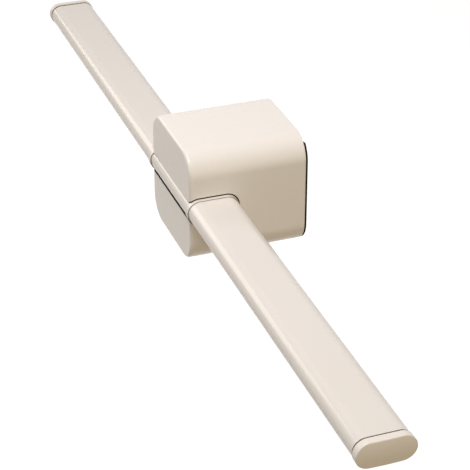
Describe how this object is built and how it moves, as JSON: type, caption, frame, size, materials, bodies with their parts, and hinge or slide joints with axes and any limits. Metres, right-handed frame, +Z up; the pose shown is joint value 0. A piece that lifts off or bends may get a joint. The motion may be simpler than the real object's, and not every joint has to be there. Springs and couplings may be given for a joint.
{
  "type": "towel rail",
  "caption": "Wall-mounted towel rail: a flat oval bar runs through the middle of a square block with rounded corners, which lifts off a dovetail wall plate.",
  "frame": {"origin": "middle of the wall fixing's back face, on the wall plane", "axes": "+X along the rail, +Y into the wall, +Z up"},
  "size_m": [0.6, 0.0804, 0.076],
  "materials": {
    "block_cream": "satin cream moulded plastic with a fine even grain",
    "rail_cream": "extruded aluminium with a satin cream powder coat",
    "trim_cream": "satin cream moulded plastic",
    "cast_plate": "bead-blasted die casting",
    "inner_plastic": "grey glass-filled moulding",
    "zinc_steel": "zinc-plated",
    "insert_brass": "turned brass",
    "nut_steel": "drawn bar",
    "foam_tape": "closed-cell foam tape",
    "gasket_rubber": "dark soft rubber"
  },
  "bodies": {
    "wall_mount": {"adhesive_pad": "foam_tape", "wall_plate": "cast_plate"},
    "rack": {"hanger_plate": "inner_plastic", "block_shell": "block_cream", "rim_gasket": "gasket_rubber", "rail_liner": "gasket_rubber", "shell_inserts": "insert_brass", "shell_screws": "zinc_steel", "carrier": "inner_plastic", "carrier_inserts": "insert_brass", "carrier_screws": "zinc_steel", "rail": "rail_cream", "nut_bar": "nut_steel", "rail_screws": "zinc_steel", "rail_washers": "zinc_steel", "right_collar": "trim_cream", "left_collar": "trim_cream", "right_end_cap": "trim_cream", "left_end_cap": "trim_cream", "cap_seals": "gasket_rubber"}
  },
  "joints": [
    {"name": "lift_off", "type": "slide", "parent": "wall_mount", "child": "rack", "axis": [0, 0, 1], "range_m": [0, 0.06]}
  ]
}
